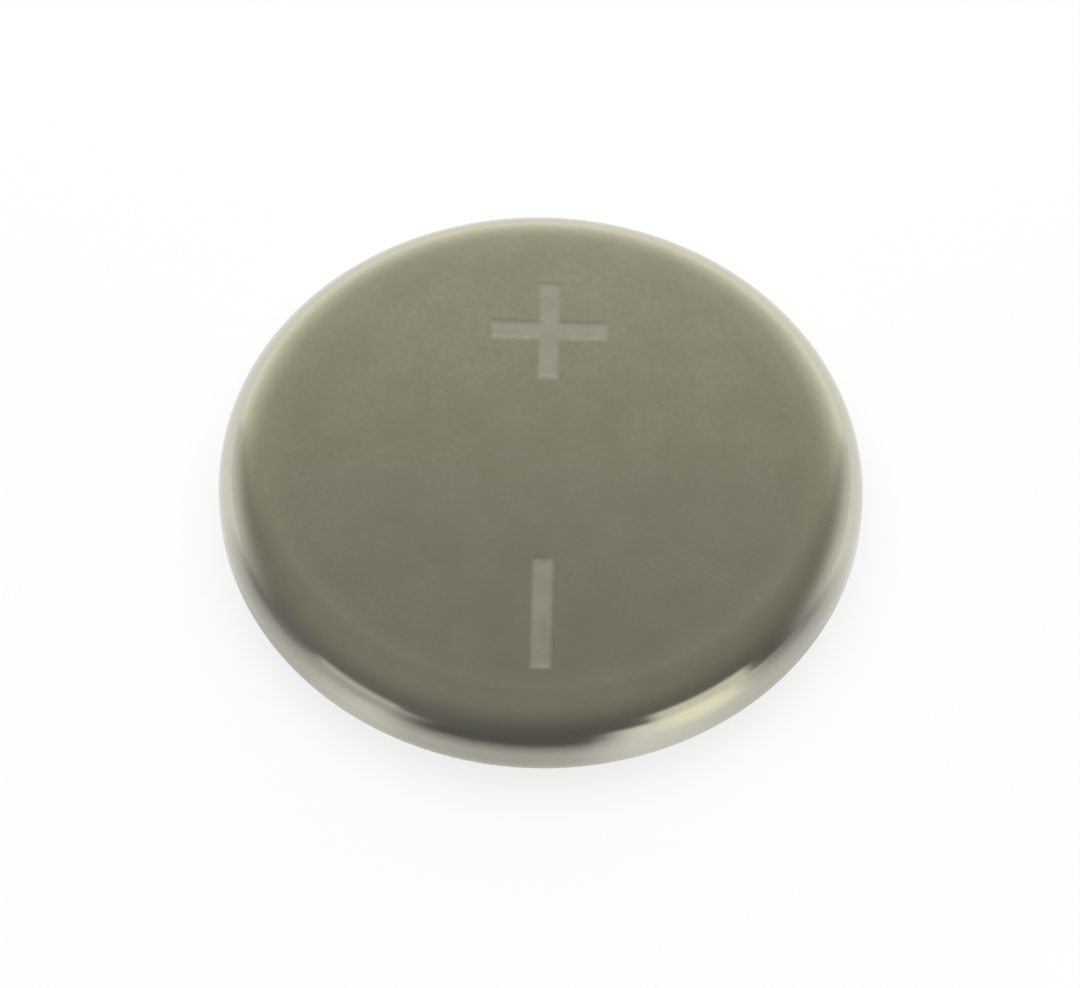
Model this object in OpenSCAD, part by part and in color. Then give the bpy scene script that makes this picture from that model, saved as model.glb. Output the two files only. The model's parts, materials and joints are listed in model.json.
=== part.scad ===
// Silver oxide button cell, lying on its negative cap with the positive face up.
// Every piece is turned about the cell's axis: its half section is drawn with the
// radius along X and the height along Y, and spun round Z.
// The origin is the centre of the negative contact face. Lengths are in millimetres.

/* [Cell] */
// Outside diameter of the cell
cell_d = 9.5; // [6.8:0.1:11.6]
// Height from the negative contact face to the positive face
cell_h = 1.65; // [1.4:0.05:3.6]
// Clearance round each piece that is pushed into another
fit = 0.01; // [0.005:0.005:0.02]

/* [Positive can] */
// Thickness of the can's sheet
can_t = 0.16; // [0.12:0.01:0.2]
// Outside radius of the edge round the positive face
face_edge_r = 0.7; // [0.3:0.05:0.8]
// Outside radius of the crimp
crimp_r = 0.5; // [0.3:0.05:0.65]
// Width of the flat lip inside the crimp
crimp_lip_w = 0.3; // [0.15:0.05:0.45]
// Height of the crimped lip above the negative contact face
crimp_setback = 0.27; // [0.2:0.01:0.35]

/* [Negative cap] */
// Thickness of the cap's sheet
cap_t = 0.15; // [0.1:0.01:0.2]
// Outside radius of the edge round the negative contact face
cap_edge_r = 0.4; // [0.25:0.05:0.5]
// Radius of the corner where the cap's neck meets its shoulder
cap_corner_r = 0.1; // [0.05:0.01:0.14]
// Inside radius of the bend from the cap's shoulder to its skirt
cap_bend_r = 0.1; // [0.05:0.01:0.15]
// Height of the cap's skirt above the inside of its shoulder
cap_skirt_h = 0.27; // [0.2:0.01:0.5]

/* [Sealing gasket] */
// Thickness of the gasket's wall, between the can and the cap's skirt
gasket_wall_t = 0.24; // [0.16:0.01:0.32]
// Thickness of the gasket's lip, squeezed between the crimp and the cap's shoulder
gasket_lip_t = 0.12; // [0.08:0.01:0.18]
// Thickness of the gasket's foot, under the rim of the cap's skirt
gasket_foot_t = 0.1; // [0.06:0.01:0.15]
// Thickness of the gasket's inner wall, inside the cap's skirt
gasket_inner_t = 0.2; // [0.1:0.01:0.35]
// Height of the gasket's inner wall above its foot
gasket_inner_h = 0.15; // [0.05:0.01:0.18]
// Width of the seal ring that shows between the crimped lip and the cap
seal_ring_w = 0.27; // [0.15:0.01:0.4]
// Depth of the seal ring's face behind the face of the crimped lip
seal_ring_recess = 0.03; // [0.01:0.01:0.1]

/* [Electrodes] */
// Thickness of the barrier membrane
membrane_t = 0.05; // [0.02:0.01:0.1]
// Thickness of the absorbent pad
pad_t = 0.18; // [0.08:0.01:0.22]

/* [Hidden] */
$fn = 96;

// Heights, from the negative contact face up. The pellet fills what is left under the base.
lip_inside_z = crimp_setback + can_t;
shoulder_z = lip_inside_z + gasket_lip_t;
shoulder_inside_z = shoulder_z + cap_t;
rim_z = shoulder_inside_z + cap_skirt_h;
membrane_z = rim_z + gasket_foot_t;
pad_z = membrane_z - pad_t;
cathode_z = membrane_z + membrane_t;
base_z = cell_h - can_t;

// Edge round the positive face, limited so that a wall as long as the sheet is thick stays straight.
edge_r = min(face_edge_r, cell_h - crimp_setback - crimp_r - can_t);

// Radii, from the outside in.
can_r = cell_d / 2;
bore_r = can_r - can_t;
skirt_r = bore_r - gasket_wall_t - 2 * fit;
skirt_inside_r = skirt_r - cap_t;
gasket_inner_r = skirt_inside_r - fit - gasket_inner_t;
lip_r = can_r - crimp_r - crimp_lip_w;
neck_r = lip_r - seal_ring_w;
neck_inside_r = neck_r - cap_t;

// Rectangle of a half section, from radius r0 to r1 and from height z0 to z1.
module band(r0, r1, z0, z1) {
    translate([r0, z0]) square([r1 - r0, z1 - z0]);
}

// Quarter disc of radius e about (r, z), in the quadrant that the signs give.
module quarter(r, z, e, sign_r, sign_z) {
    intersection() {
        translate([r, z]) circle(e);
        translate([r + (sign_r < 0 ? -e : 0), z + (sign_z < 0 ? -e : 0)]) square(e);
    }
}

// Half section of a disc of radius r, its outer edges rounded by low_e and high_e.
module disc_section(r, z0, z1, low_e = 0, high_e = 0) {
    band(0, r, z0 + low_e, z1 - high_e);
    if (low_e > 0) {
        band(0, r - low_e, z0, z0 + low_e);
        quarter(r - low_e, z0 + low_e, low_e, 1, -1);
    }
    if (high_e > 0) {
        band(0, r - high_e, z1 - high_e, z1);
        quarter(r - high_e, z1 - high_e, high_e, 1, 1);
    }
}

// Space that the can encloses. A piece that fills it leaves gap at the wall and the rounded
// edges, and seats on the flat faces.
module can_cavity(gap = 0) {
    disc_section(
        bore_r - gap, lip_inside_z, base_z,
        crimp_r - can_t + gap, edge_r - can_t + gap
    );
}

// Half section of a stepped cup: a neck from floor_z up and a wider skirt from step_z to the
// rim. edge_e and bend_e round their lower edges, corner_r the corner between the two.
// The section is drawn in by gap at its walls and rounded edges, and keeps its flat faces.
module stepped_section(neck, skirt, floor_z, step_z, edge_e, bend_e, corner_r, gap) {
    inner = neck - gap;
    fillet = corner_r - gap;
    disc_section(inner, floor_z, step_z, edge_e + gap);
    disc_section(skirt - gap, step_z, rim_z, bend_e + gap);
    difference() {
        band(inner, inner + fillet, step_z - fillet, step_z);
        quarter(inner + fillet, step_z - fillet, fillet, -1, 1);
    }
}

// Outside of the negative cap. A negative gap draws it out.
module cap_outside(gap = 0) {
    stepped_section(
        neck_r, skirt_r, 0, shoulder_z,
        cap_edge_r, cap_bend_r + cap_t, cap_corner_r, gap
    );
}

// Space that the negative cap encloses, drawn in by gap.
module cap_cavity(gap = 0) {
    stepped_section(
        neck_inside_r, skirt_inside_r, cap_t, shoulder_inside_z,
        cap_edge_r - cap_t, cap_bend_r, cap_corner_r + cap_t, gap
    );
}

// Drawn steel can: the positive face, the side wall and the crimp that closes the cell.
module positive_can() {
    color("#9a9884") rotate_extrude() difference() {
        disc_section(can_r, crimp_setback, cell_h, crimp_r, edge_r);
        can_cavity();
        band(0, lip_r, crimp_setback, lip_inside_z);
    }
}

// Silver oxide pellet, pressed into the can so that it takes the can's inside corner.
module cathode_pellet() {
    color("#2e2c2b") rotate_extrude() intersection() {
        can_cavity(fit);
        band(0, bore_r, cathode_z, base_z);
    }
}

// Membrane that keeps silver from reaching the zinc. It spans the can.
module barrier_membrane() {
    color("#d9cfae") rotate_extrude() intersection() {
        can_cavity(fit);
        band(0, bore_r, membrane_z, cathode_z);
    }
}

// Non-woven disc that holds the electrolyte, inside the gasket's foot.
module absorbent_pad() {
    color("#e8e6de") rotate_extrude() band(0, gasket_inner_r - fit, pad_z, membrane_z);
}

// Gelled zinc, which fills the cap up to the pad.
module zinc_anode() {
    color("#767a7d") rotate_extrude() intersection() {
        cap_cavity(fit);
        band(0, gasket_inner_r - fit, cap_t, pad_z);
    }
}

// Nylon ring, squeezed between can and cap: its wall, its lip under the crimp, its foot
// under the cap's rim, its inner wall, and the ring that shows round the cap.
module sealing_gasket() {
    color("#3b3a36") rotate_extrude() {
        difference() {
            intersection() {
                can_cavity(fit);
                band(0, bore_r, lip_inside_z, rim_z);
            }
            cap_outside(-fit);
        }
        intersection() {
            can_cavity(fit);
            band(gasket_inner_r, bore_r, rim_z, membrane_z);
        }
        band(gasket_inner_r, skirt_inside_r - fit, rim_z - gasket_inner_h, rim_z);
        band(neck_r + fit, lip_r - fit, crimp_setback + seal_ring_recess, lip_inside_z);
    }
}

// Drawn cap: the negative contact face, the neck, the shoulder that the crimp presses on
// and the skirt that stands in the gasket.
module negative_cap() {
    color("#a7a59a") rotate_extrude() difference() {
        cap_outside();
        cap_cavity();
    }
}

positive_can();
cathode_pellet();
barrier_membrane();
absorbent_pad();
zinc_anode();
sealing_gasket();
negative_cap();
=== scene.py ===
"""Silver oxide button cell on a pale floor, lying on its negative cap with the positive face up.

The can, the sealing gasket and the negative cap are turned from half sections; the pieces sealed
inside keep their solids. Sections and places are in millimetres and become metres in the meshes.
"""
import json
import math

import bpy
import numpy as np
from mathutils import Matrix, Vector


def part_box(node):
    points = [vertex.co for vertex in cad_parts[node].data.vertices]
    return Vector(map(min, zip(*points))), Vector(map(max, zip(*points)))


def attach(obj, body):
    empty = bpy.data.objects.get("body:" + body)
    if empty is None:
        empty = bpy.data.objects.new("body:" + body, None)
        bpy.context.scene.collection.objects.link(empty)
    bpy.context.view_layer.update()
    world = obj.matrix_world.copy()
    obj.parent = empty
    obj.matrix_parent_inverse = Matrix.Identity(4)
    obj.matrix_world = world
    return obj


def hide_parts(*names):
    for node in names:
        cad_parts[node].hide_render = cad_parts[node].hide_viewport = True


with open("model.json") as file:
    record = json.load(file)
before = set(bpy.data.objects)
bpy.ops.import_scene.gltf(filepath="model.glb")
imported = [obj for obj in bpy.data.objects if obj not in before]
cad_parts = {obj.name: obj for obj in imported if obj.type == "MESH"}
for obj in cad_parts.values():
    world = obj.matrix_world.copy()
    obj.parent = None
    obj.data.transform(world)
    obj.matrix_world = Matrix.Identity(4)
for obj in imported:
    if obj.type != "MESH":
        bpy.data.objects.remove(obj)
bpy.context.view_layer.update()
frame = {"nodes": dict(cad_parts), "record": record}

MM = 0.001

# Outside of the can, from the frame: its wall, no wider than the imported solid, its two faces and
# the bends between them.
mounts = {mount["name"]: mount for mount in frame["record"]["mounts"]}
can_wall = mounts["can_wall"]
can_low, can_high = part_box("positive_can")
CAN_R = min(-can_low.x, -can_low.y, can_high.x, can_high.y) / MM
WALL_LOW = can_wall["pos_m"][2] / MM - can_wall["dims"]["length_mm"] / 2
WALL_HIGH = can_wall["pos_m"][2] / MM + can_wall["dims"]["length_mm"] / 2
CRIMP_Z = can_low.z / MM
FACE_Z = can_high.z / MM
FACE_EDGE_R = FACE_Z - WALL_HIGH
CRIMP_R = WALL_LOW - CRIMP_Z
FACE_FLAT_R = CAN_R - FACE_EDGE_R

# Sheet and lip of the can.
CAN_T = 0.16
LIP_W = 0.3
LIP_R = CAN_R - CRIMP_R - LIP_W
LIP_EDGE_R = 0.02

# Gasket: the wall beside the can, the ring that shows, the foot and the inner wall.
FIT = 0.01
GASKET_WALL_T = 0.24
GASKET_LIP_T = 0.12
GASKET_INNER_T = 0.2
GASKET_INNER_H = 0.15
RING_W = 0.27
RING_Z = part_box("sealing_gasket")[0].z / MM
FOOT_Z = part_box("sealing_gasket")[1].z / MM

# Negative cap: one sheet with a neck, a shoulder and a skirt.
CAP_T = 0.15
CAP_EDGE_R = 0.4
CAP_CORNER_R = 0.1
CAP_BEND_R = 0.1
RIM_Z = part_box("negative_cap")[1].z / MM
SHOULDER_Z = CRIMP_Z + CAN_T + GASKET_LIP_T
NECK_R = LIP_R - RING_W
SKIRT_R = CAN_R - CAN_T - GASKET_WALL_T - 2 * FIT

# Marks pressed into the positive face: x, y, width and length of each stroke.
MARK_STROKE = 0.28
MARK_DEPTH = 0.007
MARK_SOFT = 0.09
SIGN_SPAN = 1.7
SIGN_PLACE = (0.06, 2.3)
BAR_LENGTH = 1.88
BAR_PLACE = (0.06, -2.74)
STROKES = [
    (*SIGN_PLACE, MARK_STROKE, SIGN_SPAN),
    (*SIGN_PLACE, SIGN_SPAN, MARK_STROKE),
    (*BAR_PLACE, MARK_STROKE, BAR_LENGTH),
]

# Fineness of the turned surfaces: steps round the axis, across the faces, round the bends that
# show and those that don't, down the wall, and along short or hidden stretches. Points of a section
# that lie closer than SAME_POINT count as one.
TURNS = 400
FACE_RINGS = 104
EDGE_STEPS = 30
BEND_STEPS = 10
WALL_STEPS = 6
FEW_STEPS = 4
LIP_STEPS = 2
SAME_POINT = 1e-6
SHARP_ANGLE = math.radians(40)


def placed(name, data):
    """New object that holds the data, put into the scene."""
    held = bpy.data.objects.new(name, data)
    bpy.context.scene.collection.objects.link(held)
    return held


def arc(r, z, radius, start, stop, steps=BEND_STEPS):
    """Arc of a half section: the centre (r, z) plus radius times the cosine and the sine of
    angles evenly spaced from start to stop, in degrees."""
    angle = np.radians(np.linspace(start, stop, steps + 1))
    return np.column_stack([r + radius * np.cos(angle), z + radius * np.sin(angle)])


def straight(start, stop, steps=1):
    """Straight stretch of a half section, from start to stop in equal steps."""
    return np.linspace(start, stop, steps + 1)


def joined(*stretches):
    """One half section: the stretches end to end, with each point that repeats the last left out."""
    points = np.concatenate(stretches)
    step = np.linalg.norm(np.diff(points, axis=0), axis=1)
    return points[np.concatenate([[True], step > SAME_POINT])]


def stroke_distance(x, y):
    """Distance from each point to the edge of the nearest stroke, negative inside: for a stroke
    it is the larger of |x - cx| - w/2 and |y - cy| - h/2, and the least of all strokes counts."""
    boxes = [np.maximum(abs(x - cx) - w / 2, abs(y - cy) - h / 2) for cx, cy, w, h in STROKES]
    return np.min(boxes, axis=0)


def mark_relief(x, y, z):
    """How far the positive face sinks at a point: the mark's depth times a smooth step that
    rises over MARK_SOFT across the edge of a stroke, and nothing off the flat face."""
    rise = np.clip(0.5 - stroke_distance(x, y) / MARK_SOFT, 0, 1)
    return np.where(z > FACE_Z - MARK_DEPTH / 10, MARK_DEPTH * rise * rise * (3 - 2 * rise), 0)


def turned(name, section, relief=None):
    """Surface of revolution: the section's point (r, z) at angle a becomes (r cos a, r sin a, z),
    lowered by relief(x, y, z) where that is given. A section that starts and ends on the axis is
    closed there by fans of triangles round two poles, and any other one is joined to its start."""
    with_poles = section[0, 0] == 0
    rings = section[1:-1] if with_poles else section
    angle = np.linspace(0, 2 * np.pi, TURNS, endpoint=False)
    x = np.outer(rings[:, 0], np.cos(angle))
    y = np.outer(rings[:, 0], np.sin(angle))
    z = np.outer(rings[:, 1], np.ones(TURNS))
    if relief:
        z = z - relief(x, y, z)
    points = np.stack([x, y, z], axis=-1).reshape(-1, 3)
    here = np.arange(len(points)).reshape(len(rings), TURNS)
    beside = np.roll(here, -1, axis=1)
    if with_poles:
        first, last = len(points), len(points) + 1
        points = np.concatenate([points, [(0, 0, section[0, 1])], [(0, 0, section[-1, 1])]])
        quads = np.stack([here[:-1], here[1:], beside[1:], beside[:-1]], axis=-1)
        first_fan = np.stack([np.full(TURNS, first), here[0], beside[0]], axis=-1)
        last_fan = np.stack([here[-1], np.full(TURNS, last), beside[-1]], axis=-1)
        fans = np.concatenate([first_fan, last_fan]).tolist()
    else:
        below = np.roll(here, -1, axis=0)
        below_beside = np.roll(beside, -1, axis=0)
        quads = np.stack([here, below, below_beside, beside], axis=-1)
        fans = []
    mesh = bpy.data.meshes.new(name)
    mesh.from_pydata((points * MM).tolist(), [], quads.reshape(-1, 4).tolist() + fans)
    mesh.shade_smooth()
    mesh.set_sharp_from_angle(angle=SHARP_ANGLE)
    return placed(name, mesh)


def can_section():
    """Half section of the can: the face, its rounded edge, the wall, the crimp and its lip, then
    back inside at the sheet's thickness."""
    edge_z = FACE_Z - FACE_EDGE_R
    bend_r = CAN_R - CRIMP_R
    low_edge = (LIP_R + LIP_EDGE_R, CRIMP_Z + LIP_EDGE_R)
    high_edge = (LIP_R + LIP_EDGE_R, CRIMP_Z + CAN_T - LIP_EDGE_R)
    return joined(
        straight((0, FACE_Z), (FACE_FLAT_R, FACE_Z), FACE_RINGS),
        arc(FACE_FLAT_R, edge_z, FACE_EDGE_R, 90, 0, EDGE_STEPS),
        straight((CAN_R, edge_z), (CAN_R, WALL_LOW), WALL_STEPS),
        arc(bend_r, WALL_LOW, CRIMP_R, 0, -90, EDGE_STEPS),
        straight((bend_r, CRIMP_Z), (low_edge[0], CRIMP_Z), LIP_STEPS),
        arc(*low_edge, LIP_EDGE_R, -90, -180, FEW_STEPS),
        arc(*high_edge, LIP_EDGE_R, 180, 90, FEW_STEPS),
        arc(bend_r, WALL_LOW, CRIMP_R - CAN_T, -90, 0),
        arc(FACE_FLAT_R, edge_z, FACE_EDGE_R - CAN_T, 0, 90),
        straight((FACE_FLAT_R, FACE_Z - CAN_T), (0, FACE_Z - CAN_T), FEW_STEPS),
    )


def gasket_section():
    """Half section of the gasket: the foot, the wall with its corners taken from the inside of the
    can, the ring that shows, the side that follows the cap's neck, shoulder and bend, and the
    inner wall. The last point meets the first."""
    lip_z = CRIMP_Z + CAN_T
    wall_r = CAN_R - CAN_T - FIT
    corner_r = CRIMP_R - CAN_T + FIT
    edge_r = FACE_EDGE_R - CAN_T + FIT
    edge_z = FACE_Z - CAN_T - edge_r
    edge_turn = math.degrees(math.asin(max(0, (FOOT_Z - edge_z) / edge_r)))
    neck_r = NECK_R + FIT
    neck_corner_r = CAP_CORNER_R + FIT
    skirt_r = SKIRT_R + FIT
    bend_r = CAP_BEND_R + CAP_T - FIT
    inner_r = SKIRT_R - CAP_T - FIT
    foot_r = inner_r - GASKET_INNER_T
    inner_z = RIM_Z - GASKET_INNER_H
    return joined(
        straight((foot_r, FOOT_Z), (inner_r, FOOT_Z)),
        arc(wall_r - edge_r, edge_z, edge_r, edge_turn, 0),
        arc(wall_r - corner_r, lip_z + corner_r, corner_r, 0, -90),
        straight((LIP_R - FIT, lip_z), (LIP_R - FIT, RING_Z)),
        straight((LIP_R - FIT, RING_Z), (neck_r, RING_Z), FEW_STEPS),
        arc(neck_r + neck_corner_r, SHOULDER_Z - neck_corner_r, neck_corner_r, 180, 90),
        arc(skirt_r - bend_r, SHOULDER_Z + bend_r, bend_r, -90, 0),
        straight((skirt_r, RIM_Z), (inner_r, RIM_Z)),
        straight((inner_r, inner_z), (foot_r, inner_z)),
    )


def cap_section():
    """Half section of the cap: its inside from the floor of the cup over the shoulder to the rim
    of the skirt, then its outside back down to the contact face, at one sheet's thickness."""
    edge = (NECK_R - CAP_EDGE_R, CAP_EDGE_R)
    corner = (NECK_R + CAP_CORNER_R, SHOULDER_Z - CAP_CORNER_R)
    bend = (SKIRT_R - CAP_T - CAP_BEND_R, SHOULDER_Z + CAP_T + CAP_BEND_R)
    return joined(
        straight((0, CAP_T), (edge[0], CAP_T), FEW_STEPS),
        arc(*edge, CAP_EDGE_R - CAP_T, -90, 0),
        arc(*corner, CAP_CORNER_R + CAP_T, 180, 90),
        arc(*bend, CAP_BEND_R, -90, 0),
        straight((SKIRT_R - CAP_T, RIM_Z), (SKIRT_R, RIM_Z)),
        arc(*bend, CAP_BEND_R + CAP_T, 0, -90),
        arc(*corner, CAP_CORNER_R, 90, 180),
        arc(*edge, CAP_EDGE_R, 0, -90, EDGE_STEPS),
        straight((edge[0], 0), (0, 0), FACE_RINGS),
    )


def add(tree, kind, inputs=None, **settings):
    """New node of a kind, with its settings, and each input given a value or linked to a socket."""
    made = tree.nodes.new(kind)
    for key, value in settings.items():
        setattr(made, key, value)
    for key, value in (inputs or {}).items():
        if isinstance(value, bpy.types.NodeSocket):
            tree.links.new(value, made.inputs[key])
        else:
            made.inputs[key].default_value = value
    return made


def calc(tree, operation, *values):
    """Result of a Math node: the operation on one, two or three values or sockets."""
    return add(tree, "ShaderNodeMath", dict(enumerate(values)), operation=operation).outputs[0]


def split(tree, vector):
    """X, Y and Z of a vector."""
    return add(tree, "ShaderNodeSeparateXYZ", {0: vector}).outputs


def ramp(tree, value, low, high, out_low=0.0, out_high=1.0):
    """Smooth step of a value from out_low at low to out_high at high."""
    inputs = {"Value": value, "From Min": low, "From Max": high, "To Min": out_low, "To Max": out_high}
    return add(tree, "ShaderNodeMapRange", inputs, interpolation_type="SMOOTHSTEP").outputs[0]


def noise(tree, vector, scale, detail=2.0, roughness=0.5):
    """Value of a noise pattern with so many features in a metre."""
    inputs = {"Vector": vector, "Scale": scale, "Detail": detail, "Roughness": roughness}
    return add(tree, "ShaderNodeTexNoise", inputs).outputs["Fac"]


def blended(tree, factor, first, second):
    """Colour between first and second by the factor, a socket; each is a colour or a socket."""
    colours = [
        colour if isinstance(colour, bpy.types.NodeSocket) else (*colour, 1)
        for colour in (first, second)
    ]
    mix = add(tree, "ShaderNodeMix", {0: factor, 6: colours[0], 7: colours[1]}, data_type="RGBA")
    return mix.outputs[2]


def tinted(tree, base, mask, share, colour):
    """Base colour with a share of another colour laid over it where the mask is."""
    return blended(tree, calc(tree, "MULTIPLY", mask, share), base, colour)


def new_group(name, inputs, outputs):
    """Empty shader node group with a Vector input, the named values and the named outputs."""
    tree = bpy.data.node_groups.new(name, "ShaderNodeTree")
    tree.interface.new_socket("Vector", in_out="INPUT", socket_type="NodeSocketVector")
    for key, value in inputs.items():
        socket = tree.interface.new_socket(key, in_out="INPUT", socket_type="NodeSocketFloat")
        socket.default_value = value
    for key in outputs:
        tree.interface.new_socket(key, in_out="OUTPUT", socket_type="NodeSocketFloat")
    return tree, tree.nodes.new("NodeGroupInput").outputs, tree.nodes.new("NodeGroupOutput").inputs


# Patterns: how much finer the second grain is, the scratches' directions in radians, how far from
# the noise's middle value a scratch reaches, the patches that break them up, the waves along the
# edge of a rim and their height in metres, and how narrow fibres are drawn.
FINER_GRAIN = 2.6
SCRATCH_TURNS = (0.5, 1.9)
SCRATCH_WIDTH = 0.012
SCRATCH_PATCHES = 600.0
RIM_WAVES = 2500.0
RIM_WAVE_HEIGHT = 0.0001
FIBRE_DRAW = 0.08


def plating_grain():
    """Grain of a satin plate: fine grain, soft clouds a few grains wide, and a height for bump."""
    tree, given, out = new_group("plating_grain", {"Grain": 20000.0, "Cloud": 1500.0},
                                 ["Grain", "Cloud", "Height"])
    place = given["Vector"]
    grain = noise(tree, place, given["Grain"], detail=3.0, roughness=0.6)
    finer = noise(tree, place, calc(tree, "MULTIPLY", given["Grain"], FINER_GRAIN), detail=1.0)
    cloud = noise(tree, place, given["Cloud"], detail=3.0)
    tree.links.new(ramp(tree, grain, 0.25, 0.75), out["Grain"])
    tree.links.new(ramp(tree, cloud, 0.3, 0.7), out["Cloud"])
    tree.links.new(calc(tree, "MULTIPLY_ADD", finer, 0.5, grain), out["Height"])
    return tree


def hairline_scratches():
    """Faint scratches: two sets of noise drawn out along slanted lines, kept where the noise
    crosses its middle value, and broken up by a wide patchy noise."""
    tree, given, out = new_group("hairline_scratches", {"Scale": 1000.0, "Stretch": 0.03}, ["Line"])
    lines = []
    for turn in SCRATCH_TURNS:
        mapping = add(tree, "ShaderNodeMapping", {"Vector": given["Vector"], "Rotation": (0, 0, turn)})
        axes = split(tree, mapping.outputs[0])
        along = calc(tree, "MULTIPLY", axes["X"], given["Stretch"])
        drawn = add(tree, "ShaderNodeCombineXYZ", {"X": along, "Y": axes["Y"], "Z": axes["Z"]})
        value = noise(tree, drawn.outputs[0], given["Scale"], detail=4.0, roughness=0.7)
        middle = calc(tree, "ABSOLUTE", calc(tree, "SUBTRACT", value, 0.5))
        lines.append(ramp(tree, middle, 0.0, SCRATCH_WIDTH, 1.0, 0.0))
    patch = ramp(tree, noise(tree, given["Vector"], SCRATCH_PATCHES), 0.5, 0.7)
    both = calc(tree, "MAXIMUM", *lines)
    tree.links.new(calc(tree, "MULTIPLY", both, patch), out["Line"])
    return tree


def rounded_rim():
    """Mask of a turned piece's outer rim: a smooth step of the distance from the axis, from
    nothing at Start to one at Full, with its edge made uneven by noise."""
    tree, given, out = new_group("rounded_rim", {"Start": 0.004, "Full": 0.0045}, ["Rim"])
    axes = split(tree, given["Vector"])
    y_squared = calc(tree, "MULTIPLY", axes["Y"], axes["Y"])
    radius = calc(tree, "SQRT", calc(tree, "MULTIPLY_ADD", axes["X"], axes["X"], y_squared))
    uneven = calc(tree, "SUBTRACT", noise(tree, given["Vector"], RIM_WAVES, detail=3.0), 0.5)
    wavy = calc(tree, "MULTIPLY_ADD", uneven, RIM_WAVE_HEIGHT, radius)
    tree.links.new(ramp(tree, wavy, given["Start"], given["Full"]), out["Rim"])
    return tree


def packed_powder():
    """Pressed or gelled powder: cells as large as its grains, with their tone and height."""
    tree, given, out = new_group("packed_powder", {"Scale": 9000.0}, ["Tone", "Height"])
    cells = add(tree, "ShaderNodeTexVoronoi", {"Vector": given["Vector"], "Scale": given["Scale"]})
    dust = noise(tree, given["Vector"], given["Scale"], detail=4.0, roughness=0.7)
    tree.links.new(calc(tree, "MULTIPLY", cells.outputs["Distance"], dust), out["Tone"])
    tree.links.new(calc(tree, "SUBTRACT", 1.0, cells.outputs["Distance"]), out["Height"])
    return tree


def fibre_mat():
    """Matted fibres: two crossed sets of drawn-out noise, the higher of the two on top."""
    tree, given, out = new_group("fibre_mat", {"Scale": 4000.0}, ["Fibre"])
    sets = []
    for squeeze in ((1, FIBRE_DRAW, 1), (FIBRE_DRAW, 1, 1)):
        mapping = add(tree, "ShaderNodeMapping", {"Vector": given["Vector"], "Scale": squeeze})
        sets.append(noise(tree, mapping.outputs[0], given["Scale"], detail=3.0, roughness=0.6))
    tree.links.new(calc(tree, "MAXIMUM", *sets), out["Fibre"])
    return tree


GRAIN = plating_grain()
SCRATCHES = hairline_scratches()
RIM = rounded_rim()
POWDER = packed_powder()
FIBRES = fibre_mat()


def new_material(name):
    """Material with an empty Principled shader; gives back the tree, the shader and the place."""
    material = bpy.data.materials.new(name)
    material.use_nodes = True
    tree = material.node_tree
    place = add(tree, "ShaderNodeTexCoord").outputs["Object"]
    return material, tree, tree.nodes["Principled BSDF"], place


def surfaced(tree, shader):
    """The shader becomes the material's surface."""
    tree.links.new(shader.outputs[0], tree.nodes["Material Output"].inputs["Surface"])


def grouped(tree, group, place, **values):
    """Outputs of a node group placed in a material with its own values."""
    return add(tree, "ShaderNodeGroup", {"Vector": place, **values}, node_tree=group).outputs


def rim_zone(tree, place, start, full):
    """Mask of a piece's rim, from nothing at one distance from the axis to one at another, both
    in millimetres."""
    return grouped(tree, RIM, place, Start=start * MM, Full=full * MM)["Rim"]


def bumped(tree, shader, height, depth, strength):
    """Small relief on a shader: height times a depth in millimetres, at the given strength."""
    bump = add(tree, "ShaderNodeBump", {"Height": height, "Distance": depth * MM, "Strength": strength})
    tree.links.new(bump.outputs[0], shader.inputs["Normal"])


# Finish of the can: the colours of its plate, and a paler ring round the face that is painted
# sheen, brighter reflected light near its edge; the zones where that ring, the smoother edge and the
# colour of the rim start and are full, from the axis out; how rough the face is, and how much the
# edge and the marks differ from it; and the wear of the marks.
CAN_CLOUDS = ((0.535, 0.522, 0.365), (0.58, 0.57, 0.405))
CAN_GRAIN = (0.48, 0.465, 0.33)
CAN_SHEEN_RING = (0.69, 0.67, 0.47)
CAN_RIM = (0.585, 0.567, 0.482)
CAN_SCRATCH = (0.66, 0.64, 0.53)
CAN_MARK = (0.74, 0.72, 0.56)
SHEEN_RING_ZONE = (FACE_FLAT_R - 0.4, FACE_FLAT_R + 0.12)
SMOOTH_ZONE = (FACE_FLAT_R + 0.05, FACE_FLAT_R + 0.5)
RIM_ZONE = (FACE_FLAT_R + 0.3, FACE_FLAT_R + 0.62)
FACE_ROUGHNESS = 0.36
EDGE_SMOOTHER = 0.19
MARK_ROUGHER = 0.2
MARK_WEAR = 2600.0


def mark_mask(tree, place):
    """Mask of the strokes on the positive face, by the same distance that sinks them, made uneven
    by noise."""
    axes = split(tree, place)
    nearest = None
    for cx, cy, w, h in STROKES:
        across = calc(tree, "ABSOLUTE", calc(tree, "SUBTRACT", axes["X"], cx * MM))
        along = calc(tree, "ABSOLUTE", calc(tree, "SUBTRACT", axes["Y"], cy * MM))
        beyond = calc(tree, "MAXIMUM", calc(tree, "SUBTRACT", across, w * MM / 2),
                      calc(tree, "SUBTRACT", along, h * MM / 2))
        nearest = calc(tree, "MINIMUM", nearest, beyond) if nearest else beyond
    inside = ramp(tree, nearest, -MARK_SOFT * MM / 2, MARK_SOFT * MM / 2, 1.0, 0.0)
    on_top = calc(tree, "GREATER_THAN", axes["Z"], (FACE_Z - 2 * MARK_DEPTH) * MM)
    uneven = ramp(tree, noise(tree, place, MARK_WEAR), 0.3, 0.65, 0.6, 1.0)
    return calc(tree, "MULTIPLY", calc(tree, "MULTIPLY", inside, on_top), uneven)


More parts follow.
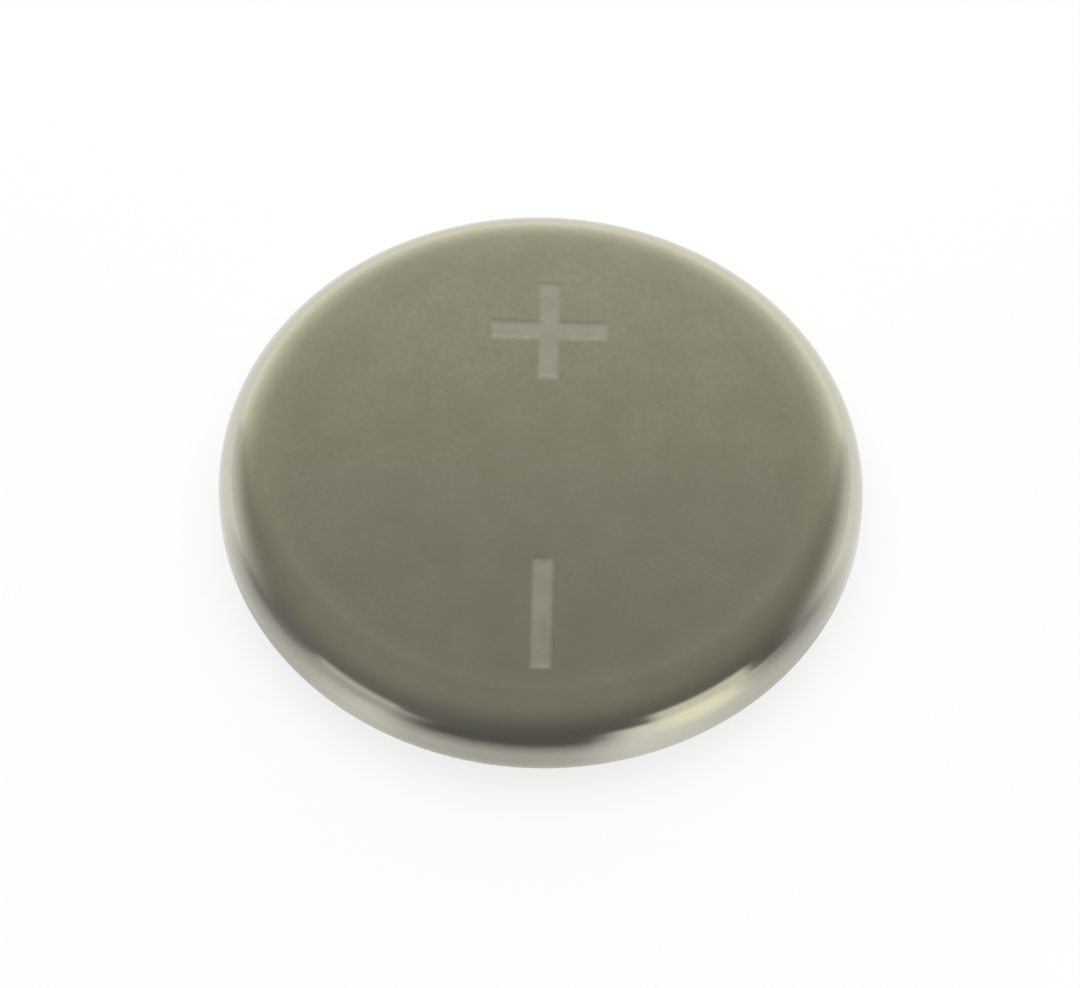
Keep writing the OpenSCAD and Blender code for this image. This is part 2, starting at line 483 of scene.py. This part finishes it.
def can_material():
    """Satin nickel plate: a dull grained face with a paler ring round it, a painted sheen that stands
    for brighter reflected light near the face's edge, a smoother edge, a rim whose own colour goes
    on over the wall and the crimp, and paler rough marks. The grain fades towards the edge."""
    material, tree, shader, place = new_material("can_nickel")
    grain = grouped(tree, GRAIN, place, Grain=9000.0, Cloud=1400.0)
    line = grouped(tree, SCRATCHES, place, Scale=1100.0, Stretch=0.03)["Line"]
    sheen_ring = rim_zone(tree, place, *SHEEN_RING_ZONE)
    edge = rim_zone(tree, place, *SMOOTH_ZONE)
    rim = rim_zone(tree, place, *RIM_ZONE)
    mark = mark_mask(tree, place)
    high = (FACE_Z - FACE_EDGE_R / 2) * MM
    under = ramp(tree, split(tree, place)["Z"], WALL_HIGH * MM, high, 1.0, 0.0)
    face = blended(tree, grain["Cloud"], *CAN_CLOUDS)
    face = tinted(tree, face, grain["Grain"], 0.5, CAN_GRAIN)
    # Painted sheen: a paler ring round the face stands for brighter reflected light near its edge.
    face = tinted(tree, face, sheen_ring, 0.42, CAN_SHEEN_RING)
    plate = blended(tree, calc(tree, "MAXIMUM", rim, under), face, CAN_RIM)
    plate = tinted(tree, plate, line, 0.2, CAN_SCRATCH)
    tree.links.new(blended(tree, mark, plate, CAN_MARK), shader.inputs["Base Color"])
    grained = calc(tree, "MULTIPLY_ADD", sheen_ring, -0.95, 1.0)
    uneven = calc(tree, "MULTIPLY", calc(tree, "SUBTRACT", grain["Grain"], 0.5), grained)
    dull = calc(tree, "MULTIPLY_ADD", uneven, 0.06, FACE_ROUGHNESS)
    smooth = calc(tree, "MULTIPLY_ADD", edge, -EDGE_SMOOTHER, dull)
    tree.links.new(calc(tree, "MULTIPLY_ADD", mark, MARK_ROUGHER, smooth), shader.inputs["Roughness"])
    shader.inputs["Metallic"].default_value = 1.0
    scratched = calc(tree, "MULTIPLY_ADD", line, -0.3, grain["Height"])
    bumped(tree, shader, calc(tree, "MULTIPLY", scratched, grained), 0.004, 0.2)
    return material


# Finish of the cap and the gasket.
CAP_CLOUDS = ((0.56, 0.55, 0.47), (0.61, 0.6, 0.53))
CAP_RIM = (0.64, 0.62, 0.55)
CAP_SCRATCH = (0.48, 0.47, 0.42)
CAP_ROUGHNESS = 0.26
CAP_RIM_SMOOTHER = 0.05
NYLON_CLOUDS = ((0.038, 0.036, 0.032), (0.055, 0.053, 0.047))
NYLON_ROUGHNESS = 0.4


def cap_material():
    """Nickel on the cap: a little brighter and smoother than the can, with scratches from use."""
    material, tree, shader, place = new_material("cap_nickel")
    grain = grouped(tree, GRAIN, place, Grain=22000.0, Cloud=1100.0)
    line = grouped(tree, SCRATCHES, place, Scale=1500.0, Stretch=0.02)["Line"]
    rim = rim_zone(tree, place, NECK_R - CAP_EDGE_R, NECK_R)
    face = blended(tree, grain["Cloud"], *CAP_CLOUDS)
    plate = blended(tree, rim, face, CAP_RIM)
    tree.links.new(blended(tree, line, plate, CAP_SCRATCH), shader.inputs["Base Color"])
    dull = calc(tree, "MULTIPLY_ADD", grain["Grain"], 0.08, CAP_ROUGHNESS)
    smooth = calc(tree, "MULTIPLY_ADD", rim, -CAP_RIM_SMOOTHER, dull)
    tree.links.new(smooth, shader.inputs["Roughness"])
    shader.inputs["Metallic"].default_value = 1.0
    scratched = calc(tree, "MULTIPLY_ADD", line, -0.5, grain["Height"])
    bumped(tree, shader, scratched, 0.003, 0.25)
    return material


def gasket_material():
    """Dark moulded nylon with a faint flow pattern."""
    material, tree, shader, place = new_material("gasket_nylon")
    grain = grouped(tree, GRAIN, place, Grain=30000.0, Cloud=2500.0)
    tree.links.new(blended(tree, grain["Cloud"], *NYLON_CLOUDS), shader.inputs["Base Color"])
    rough = calc(tree, "MULTIPLY_ADD", grain["Grain"], 0.15, NYLON_ROUGHNESS)
    tree.links.new(rough, shader.inputs["Roughness"])
    bumped(tree, shader, grain["Height"], 0.004, 0.3)
    return material


def powder_material(name, dark, light, roughness, metallic, scale):
    """Pressed or gelled powder between two tones."""
    material, tree, shader, place = new_material(name)
    powder = grouped(tree, POWDER, place, Scale=scale)
    tone = ramp(tree, powder["Tone"], 0.05, 0.4)
    rough = ramp(tree, powder["Tone"], 0.0, 0.5, roughness, roughness + 0.2)
    tree.links.new(blended(tree, tone, dark, light), shader.inputs["Base Color"])
    tree.links.new(rough, shader.inputs["Roughness"])
    shader.inputs["Metallic"].default_value = metallic
    bumped(tree, shader, powder["Height"], 0.01, 0.5)
    return material


def fibre_material(name, dark, light, roughness, scale, depth):
    """Fibres or film between two tones, with a relief of the given depth in millimetres."""
    material, tree, shader, place = new_material(name)
    fibre = grouped(tree, FIBRES, place, Scale=scale)["Fibre"]
    tone = ramp(tree, fibre, 0.4, 0.7)
    rough = ramp(tree, fibre, 0.4, 0.7, roughness + 0.15, roughness)
    tree.links.new(blended(tree, tone, dark, light), shader.inputs["Base Color"])
    tree.links.new(rough, shader.inputs["Roughness"])
    bumped(tree, shader, fibre, depth, 0.5)
    return material


def dress(piece, node, material):
    """A turned piece takes the place of a solid, rides on the cell and gets its finish."""
    piece.data.materials.append(material)
    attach(piece, "root")
    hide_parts(node)


dress(turned("can", can_section(), mark_relief), "positive_can", can_material())
dress(turned("gasket", gasket_section()), "sealing_gasket", gasket_material())
dress(turned("cap", cap_section()), "negative_cap", cap_material())

# Pieces sealed inside keep their solids and get their own finishes.
INSIDE = {
    "cathode_pellet": powder_material(
        "silver_oxide", dark=(0.02, 0.019, 0.018), light=(0.06, 0.056, 0.053),
        roughness=0.6, metallic=0.0, scale=12000.0),
    "zinc_anode": powder_material(
        "zinc_gel", dark=(0.12, 0.125, 0.13), light=(0.3, 0.31, 0.32),
        roughness=0.4, metallic=0.6, scale=7000.0),
    "barrier_membrane": fibre_material(
        "membrane_film", dark=(0.6, 0.52, 0.36), light=(0.74, 0.66, 0.47),
        roughness=0.45, scale=2500.0, depth=0.002),
    "absorbent_pad": fibre_material(
        "pad_felt", dark=(0.68, 0.67, 0.62), light=(0.84, 0.83, 0.79),
        roughness=0.75, scale=6000.0, depth=0.01),
}
for node, material in INSIDE.items():
    frame["nodes"][node].data.materials.clear()
    frame["nodes"][node].data.materials.append(material)

# Studio: a pale floor that is open under the cell and shows only from above, soft light round it.
FLOOR_R = 400.0
FLOOR_OPEN_R = 3.6
FLOOR_SIDES = 128
FLOOR_Z = -0.02
FLOOR_COLOUR = (0.93, 0.93, 0.92)
FLOOR_FAINT = tuple(0.985 * part for part in FLOOR_COLOUR)
FLOOR_CLOUDS = 30.0
FLOOR_GLOW = 0.8
FLOOR_MIRRORED_GLOW = 0.6
WHITE = (1.0, 1.0, 1.0)
WARM = (1.0, 0.985, 0.84)
COOL = (0.94, 0.92, 1.12)


def floor_material():
    """Matt white floor. Plain white takes a share of it, one for the camera and another for
    reflections, and the floor can be looked through from below."""
    material, tree, shader, place = new_material("studio_floor")
    tone = ramp(tree, noise(tree, place, FLOOR_CLOUDS), 0.3, 0.7)
    tree.links.new(blended(tree, tone, FLOOR_FAINT, FLOOR_COLOUR), shader.inputs["Base Color"])
    shader.inputs["Roughness"].default_value = 1.0
    shader.inputs["Specular IOR Level"].default_value = 0.0
    path = add(tree, "ShaderNodeLightPath").outputs
    glow = add(tree, "ShaderNodeEmission")
    mirrored = calc(tree, "MULTIPLY", path["Is Glossy Ray"], FLOOR_MIRRORED_GLOW)
    share = calc(tree, "MULTIPLY_ADD", path["Is Camera Ray"], FLOOR_GLOW, mirrored)
    lit = add(tree, "ShaderNodeMixShader", {0: share, 1: shader.outputs[0], 2: glow.outputs[0]})
    clear = add(tree, "ShaderNodeBsdfTransparent")
    back = add(tree, "ShaderNodeNewGeometry").outputs["Backfacing"]
    surfaced(tree, add(tree, "ShaderNodeMixShader", {0: back, 1: lit.outputs[0], 2: clear.outputs[0]}))
    return material


def studio_floor():
    """Flat ring from the opening under the cell to the floor's edge: a band of quads whose
    corners are (r cos a, r sin a) at the two radii."""
    angle = np.linspace(0, 2 * np.pi, FLOOR_SIDES, endpoint=False)
    radii = np.array([FLOOR_OPEN_R, FLOOR_R])
    x = np.outer(radii, np.cos(angle))
    y = np.outer(radii, np.sin(angle))
    points = np.stack([x, y, np.full(x.shape, FLOOR_Z)], axis=-1).reshape(-1, 3) * MM
    inner = np.arange(FLOOR_SIDES)
    beside = np.roll(inner, -1)
    quads = np.stack([inner, inner + FLOOR_SIDES, beside + FLOOR_SIDES, beside], axis=-1)
    mesh = bpy.data.meshes.new("studio_floor")
    mesh.from_pydata(points.tolist(), [], quads.tolist())
    mesh.materials.append(floor_material())
    placed("studio_floor", mesh)


# Sheets over the floor that show only in reflections, four darker and one brighter than it. Each
# follows a line that heads off at an angle, in degrees, and passes the axis at an offset. It is clear
# at the start of along and full at the end. Beside the cell it is full as far to each side as the
# first of sides and ends at the second, and both widen with the distance.
SHADE_REACH = 390.0
SHADES = {
    "right_shade": dict(
        heading=-9.2, offset=-2.2, along=(-1, 12), sides=(0.2, 2.8), widens=(0.1, 0.35),
        light=0.36),
    "left_shade": dict(
        heading=189.2, offset=2.04, along=(-1, 12), sides=(0.2, 2.8), widens=(0.2, 0.5),
        light=0.25),
    "front_left_shade": dict(
        heading=224.0, offset=1.19, along=(4.6, 9), sides=(0.8, 3.0), widens=(0.2, 0.4),
        light=0.55),
    "front_right_glow": dict(
        heading=-44.0, offset=-1.19, along=(5.2, 7.2), sides=(0.2, 1.6), widens=(0.1, 0.2),
        light=1.22, colour=WARM),
    "front_shade": dict(
        heading=-94.0, offset=-0.4, along=(2.7, 8.4), sides=(1.1, 2.7), widens=(0.4, 0.6),
        light=0.13),
}


def floor_shade(name, height, heading, offset, along, sides, widens, light, colour=WHITE):
    """Flat sheet just above the floor, turned to its heading: the grid of its two sides and two
    depths. It is clear at its start and at its sides, and full ahead."""
    x, y = np.meshgrid([along[0], SHADE_REACH], [-SHADE_REACH / 2, SHADE_REACH / 2])
    points = np.stack([x, y, np.zeros(x.shape)], axis=-1).reshape(-1, 3) * MM
    mesh = bpy.data.meshes.new(name)
    mesh.from_pydata(points.tolist(), [], [(0, 1, 3, 2)])
    material, tree, _, place = new_material(name)
    axes = split(tree, place)
    off = calc(tree, "ABSOLUTE", calc(tree, "SUBTRACT", axes["Y"], offset * MM))
    ahead = calc(tree, "MAXIMUM", calc(tree, "SUBTRACT", axes["X"], CAN_R * MM), 0.0)
    full, end = [
        calc(tree, "MULTIPLY_ADD", ahead, widen, side * MM) for side, widen in zip(sides, widens)
    ]
    across = ramp(tree, off, full, end, 1.0, 0.0)
    onset = ramp(tree, axes["X"], along[0] * MM, along[1] * MM)
    tone = add(tree, "ShaderNodeEmission", {"Color": (*colour, 1), "Strength": light})
    clear = add(tree, "ShaderNodeBsdfTransparent")
    mask = calc(tree, "MULTIPLY", across, onset)
    surfaced(tree, add(tree, "ShaderNodeMixShader", {0: mask, 1: clear.outputs[0], 2: tone.outputs[0]}))
    mesh.materials.append(material)
    shade = placed(name, mesh)
    shade.location.z = height * MM
    shade.rotation_euler.z = math.radians(heading)
    shade.visible_camera = False
    shade.visible_diffuse = False
    shade.visible_shadow = False


# Soft surroundings: how bright they are near the horizon, high at the back, overhead, low towards
# the viewer, and as the backdrop that the camera sees.
LOW_LIGHT = 0.8
BACK_LIGHT = 0.24
TOP_LIGHT = 0.29
VIEWER_LIGHT = 0.13
BACKDROP_LIGHT = 0.93
# The height at which the light of the horizon has faded, and where towards the back it turns cool.
FADE_HEIGHT = 0.7
COOL_SIDE = (0.2, 0.9)
# Where the viewer's side takes over, how far it reaches round on the left and overhead, and how
# much brighter it is on the left.
VIEWER_SIDE = (-0.28, 0.32)
LEFT_REACH = 0.16
TOP_REACH = 0.5
LEFT_LIGHT = 0.42


def surroundings():
    """World light by direction: at the back a smooth step of the height from LOW_LIGHT down to
    BACK_LIGHT, cooler where it is low. Overhead and on the viewer's side it turns to a light that
    rises from VIEWER_LIGHT to TOP_LIGHT with the square of the height, a little brighter on the
    left. The lower half mirrors the upper one, and the camera sees a plain pale backdrop."""
    world = bpy.data.worlds.new("studio_surroundings")
    world.use_nodes = True
    tree = world.node_tree
    axes = split(tree, add(tree, "ShaderNodeTexCoord").outputs["Generated"])
    height = calc(tree, "ABSOLUTE", axes["Z"])
    bright = ramp(tree, height, 0.0, FADE_HEIGHT, LOW_LIGHT, BACK_LIGHT)
    low = ramp(tree, height, 0.0, FADE_HEIGHT, 1.0, 0.0)
    cool = calc(tree, "MULTIPLY", ramp(tree, axes["Y"], *COOL_SIDE), low)
    rise = calc(tree, "POWER", height, 2.0)
    left = calc(tree, "MAXIMUM", calc(tree, "MULTIPLY", axes["X"], -LEFT_REACH), 0.0)
    side = calc(tree, "MULTIPLY_ADD", left, LEFT_LIGHT, VIEWER_LIGHT)
    dim = calc(tree, "MULTIPLY_ADD", rise, TOP_LIGHT - VIEWER_LIGHT, side)
    near = calc(tree, "MULTIPLY_ADD", rise, TOP_REACH, calc(tree, "SUBTRACT", left, axes["Y"]))
    towards = ramp(tree, near, *VIEWER_SIDE)
    level = add(tree, "ShaderNodeMix", {0: towards, 2: bright, 3: dim}).outputs[0]
    seen = add(tree, "ShaderNodeLightPath").outputs["Is Camera Ray"]
    shown = add(tree, "ShaderNodeMix", {0: seen, 2: level, 3: BACKDROP_LIGHT}).outputs[0]
    background = tree.nodes["Background"].inputs
    tree.links.new(blended(tree, cool, WHITE, COOL), background["Color"])
    tree.links.new(shown, background["Strength"])
    bpy.context.scene.world = world


# Soft lamps round the cell. The fill lamp lights only what is dull.
LAMPS = {
    "front_right_lamp": dict(
        place=(11.4, -11.8, 3.4), aim=(2, -4.3, 1.2), width=8.2, height=4.4,
        radiance=0.78, colour=WARM),
    "front_left_lamp": dict(
        place=(-12, -11.2, 1.9), aim=(-2.4, -4.1, 1.2), width=7.1, height=2.2,
        radiance=0.42, colour=WARM),
    "back_lamp": dict(
        place=(0, 12, 9.2), aim=(0, 0, 9.2), width=34, height=15.6, radiance=0.34),
    "fill_lamp": dict(
        place=(0, 0, 140), aim=(0, 0, 0), width=160, height=160, radiance=2.4,
        in_reflections=False),
}


def panel(name, place, aim, width, height, radiance, colour=WHITE, in_reflections=True):
    """Soft rectangular lamp at a place, turned towards aim, all in millimetres. Its power is the
    radiance times pi times its area."""
    lamp = bpy.data.lights.new(name, "AREA")
    lamp.shape = "RECTANGLE"
    lamp.size = width * MM
    lamp.size_y = height * MM
    lamp.energy = radiance * math.pi * width * height * MM * MM
    lamp.color = colour
    held = placed(name, lamp)
    held.location = Vector(place) * MM
    held.rotation_mode = "QUATERNION"
    held.rotation_quaternion = (Vector(aim) - Vector(place)).to_track_quat("-Z", "Y")
    held.visible_camera = False
    held.visible_glossy = in_reflections


# Camera: the photograph's angle and framing, in a picture of 1080 by 988 pixels.
FRAME_W = 1080
FRAME_H = 988
VIEW_ELEVATION = math.radians(55.35)
VIEW_ROLL = math.radians(-1.54)
VIEW_DISTANCE = 100.0
VIEW_LIMIT = 10000.0
PIXELS_PER_MM = 68.23
FACE_CENTRE_PIXEL = (541.7, 457.1)
SENSOR_W = 36.0


def camera():
    """Camera on a line of sight at VIEW_ELEVATION through the middle of the positive face, rolled
    and moved in its own plane so that the middle falls on FACE_CENTRE_PIXEL."""
    back = Vector((0, -math.cos(VIEW_ELEVATION), math.sin(VIEW_ELEVATION)))
    level = Vector((1, 0, 0))
    upright = back.cross(level)
    right = level * math.cos(VIEW_ROLL) - upright * math.sin(VIEW_ROLL)
    up = level * math.sin(VIEW_ROLL) + upright * math.cos(VIEW_ROLL)
    across = (FRAME_W / 2 - FACE_CENTRE_PIXEL[0]) / PIXELS_PER_MM
    along = (FACE_CENTRE_PIXEL[1] - FRAME_H / 2) / PIXELS_PER_MM
    place = Vector((0, 0, FACE_Z)) + back * VIEW_DISTANCE + right * across + up * along
    data = bpy.data.cameras.new("view")
    data.sensor_width = SENSOR_W
    data.lens = SENSOR_W * PIXELS_PER_MM * VIEW_DISTANCE / FRAME_W
    data.clip_start = MM
    data.clip_end = VIEW_LIMIT * MM
    held = placed("view", data)
    turn = Matrix((right, up, back)).transposed().to_4x4()
    held.matrix_world = Matrix.Translation(place * MM) @ turn
    bpy.context.scene.camera = held


studio_floor()
surroundings()
shade_heights = np.linspace(FLOOR_Z, 0, len(SHADES) + 2)[1:-1]
for height, (name, shape) in zip(shade_heights, SHADES.items()):
    floor_shade(name, height, **shape)
for name, shape in LAMPS.items():
    panel(name, **shape)
camera()

bpy.context.scene.view_settings.view_transform = "Standard"
